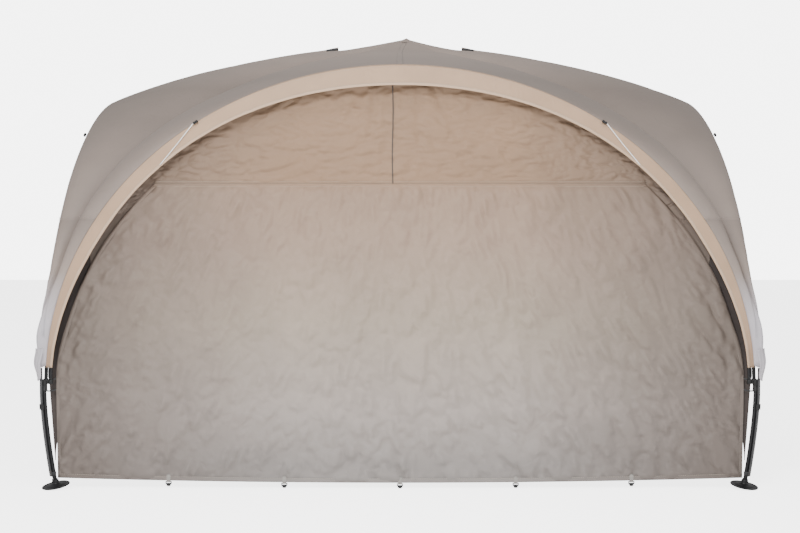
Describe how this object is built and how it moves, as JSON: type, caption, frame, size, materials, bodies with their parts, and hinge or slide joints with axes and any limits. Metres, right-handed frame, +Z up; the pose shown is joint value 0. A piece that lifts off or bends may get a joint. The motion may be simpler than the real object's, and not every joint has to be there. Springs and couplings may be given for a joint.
{
  "type": "tarp shelter",
  "caption": "Square domed tarp shelter with bent legs on round feet, four arched sides, a pointed fabric roof with valances and one hanging front wall.",
  "frame": {"origin": "on the ground under the crown, midway between the four feet", "axes": "+Z up, -Y towards the side with the front wall, +X to the right seen from the front"},
  "size_m": [3.6328, 3.6328, 2.561],
  "materials": {
    "painted_steel": "satin black powder coat",
    "foot_steel": "satin black powder coat",
    "black_plastic": "moulded, fine texture",
    "black_webbing": "woven polypropylene webbing",
    "canopy_fabric": "coated grey-taupe polyester, slight sheen",
    "trim_fabric": "coated beige polyester",
    "wall_fabric": "coated light beige-grey polyester, lets light through",
    "dark_fabric": "dark brown-grey woven polyester",
    "white_cord": "braided polyester cord"
  },
  "bodies": {
    "frame": {"leg_front_right": "painted_steel", "hub_front_right": "black_plastic", "corner_strap_front_right": "black_webbing", "leg_back_right": "painted_steel", "hub_back_right": "black_plastic", "corner_strap_back_right": "black_webbing", "leg_back_left": "painted_steel", "hub_back_left": "black_plastic", "corner_strap_back_left": "black_webbing", "leg_front_left": "painted_steel", "hub_front_left": "black_plastic", "corner_strap_front_left": "black_webbing", "arch_pole_front": "painted_steel", "apex_tee_front": "black_plastic", "ridge_pole_front": "painted_steel", "valance_front": "trim_fabric", "toggle_front_a": "black_plastic", "toggle_front_b": "black_plastic", "arch_pole_right": "painted_steel", "apex_tee_right": "black_plastic", "ridge_pole_right": "painted_steel", "valance_right": "trim_fabric", "toggle_right_a": "black_plastic", "toggle_right_b": "black_plastic", "arch_pole_back": "painted_steel", "apex_tee_back": "black_plastic", "ridge_pole_back": "painted_steel", "valance_back": "trim_fabric", "toggle_back_a": "black_plastic", "toggle_back_b": "black_plastic", "arch_pole_left": "painted_steel", "apex_tee_left": "black_plastic", "ridge_pole_left": "painted_steel", "valance_left": "trim_fabric", "toggle_left_a": "black_plastic", "toggle_left_b": "black_plastic", "crown_hub": "black_plastic", "canopy_front_right": "canopy_fabric", "canopy_back_right": "canopy_fabric", "canopy_back_left": "canopy_fabric", "canopy_front_left": "canopy_fabric", "front_wall_upper": "wall_fabric", "storm_flap_left": "dark_fabric", "storm_flap_right": "dark_fabric", "valance_cord_left": "white_cord", "valance_cord_right": "white_cord"},
    "foot_plate_front_right": {"foot_plate_front_right": "foot_steel"},
    "strap_buckle_front_right": {"strap_buckle_front_right": "black_plastic"},
    "foot_plate_back_right": {"foot_plate_back_right": "foot_steel"},
    "strap_buckle_back_right": {"strap_buckle_back_right": "black_plastic"},
    "foot_plate_back_left": {"foot_plate_back_left": "foot_steel"},
    "strap_buckle_back_left": {"strap_buckle_back_left": "black_plastic"},
    "foot_plate_front_left": {"foot_plate_front_left": "foot_steel"},
    "strap_buckle_front_left": {"strap_buckle_front_left": "black_plastic"},
    "front_wall_lower": {"front_wall_lower": "wall_fabric"},
    "hem_hook_1": {"hem_hook_1": "black_plastic"},
    "hem_hook_2": {"hem_hook_2": "black_plastic"},
    "hem_hook_3": {"hem_hook_3": "black_plastic"},
    "hem_hook_4": {"hem_hook_4": "black_plastic"},
    "hem_hook_5": {"hem_hook_5": "black_plastic"}
  },
  "joints": [
    {"name": "foot_swivel_front_right", "type": "hinge", "parent": "frame", "child": "foot_plate_front_right", "pos_m": [1.74501, -1.74501, 0.01317], "axis": [0.133, -0.133, 0.9821], "continuous": true},
    {"name": "foot_swivel_back_right", "type": "hinge", "parent": "frame", "child": "foot_plate_back_right", "pos_m": [1.74501, 1.74501, 0.01317], "axis": [0.133, 0.133, 0.9821], "continuous": true},
    {"name": "foot_swivel_back_left", "type": "hinge", "parent": "frame", "child": "foot_plate_back_left", "pos_m": [-1.74501, 1.74501, 0.01317], "axis": [-0.133, 0.133, 0.9821], "continuous": true},
    {"name": "foot_swivel_front_left", "type": "hinge", "parent": "frame", "child": "foot_plate_front_left", "pos_m": [-1.74501, -1.74501, 0.01317], "axis": [-0.133, -0.133, 0.9821], "continuous": true},
    {"name": "buckle_slide_front_right", "type": "slide", "parent": "frame", "child": "strap_buckle_front_right", "axis": [0.0548, -0.0548, 0.997], "range_m": [-0.03, 0.02]},
    {"name": "buckle_slide_back_right", "type": "slide", "parent": "frame", "child": "strap_buckle_back_right", "axis": [0.0548, 0.0548, 0.997], "range_m": [-0.03, 0.02]},
    {"name": "buckle_slide_back_left", "type": "slide", "parent": "frame", "child": "strap_buckle_back_left", "axis": [-0.0548, 0.0548, 0.997], "range_m": [-0.03, 0.02]},
    {"name": "buckle_slide_front_left", "type": "slide", "parent": "frame", "child": "strap_buckle_front_left", "axis": [-0.0548, -0.0548, 0.997], "range_m": [-0.03, 0.02]},
    {"name": "front_wall_lift", "type": "hinge", "parent": "frame", "child": "front_wall_lower", "pos_m": [0, -1.712, 1.543], "axis": [-1, 0, 0], "range_deg": [0, 50]},
    {"name": "hook_swing_1", "type": "hinge", "parent": "front_wall_lower", "child": "hem_hook_1", "pos_m": [-1.174, -1.74284, 0.0347], "axis": [1, 0, 0], "range_deg": [-60, 60]},
    {"name": "hook_swing_2", "type": "hinge", "parent": "front_wall_lower", "child": "hem_hook_2", "pos_m": [-0.587, -1.74302, 0.02593], "axis": [1, 0, 0], "range_deg": [-60, 60]},
    {"name": "hook_swing_3", "type": "hinge", "parent": "front_wall_lower", "child": "hem_hook_3", "pos_m": [0, -1.74308, 0.023], "axis": [1, 0, 0], "range_deg": [-60, 60]},
    {"name": "hook_swing_4", "type": "hinge", "parent": "front_wall_lower", "child": "hem_hook_4", "pos_m": [0.587, -1.74302, 0.02593], "axis": [1, 0, 0], "range_deg": [-60, 60]},
    {"name": "hook_swing_5", "type": "hinge", "parent": "front_wall_lower", "child": "hem_hook_5", "pos_m": [1.174, -1.74284, 0.0347], "axis": [1, 0, 0], "range_deg": [-60, 60]}
  ]
}
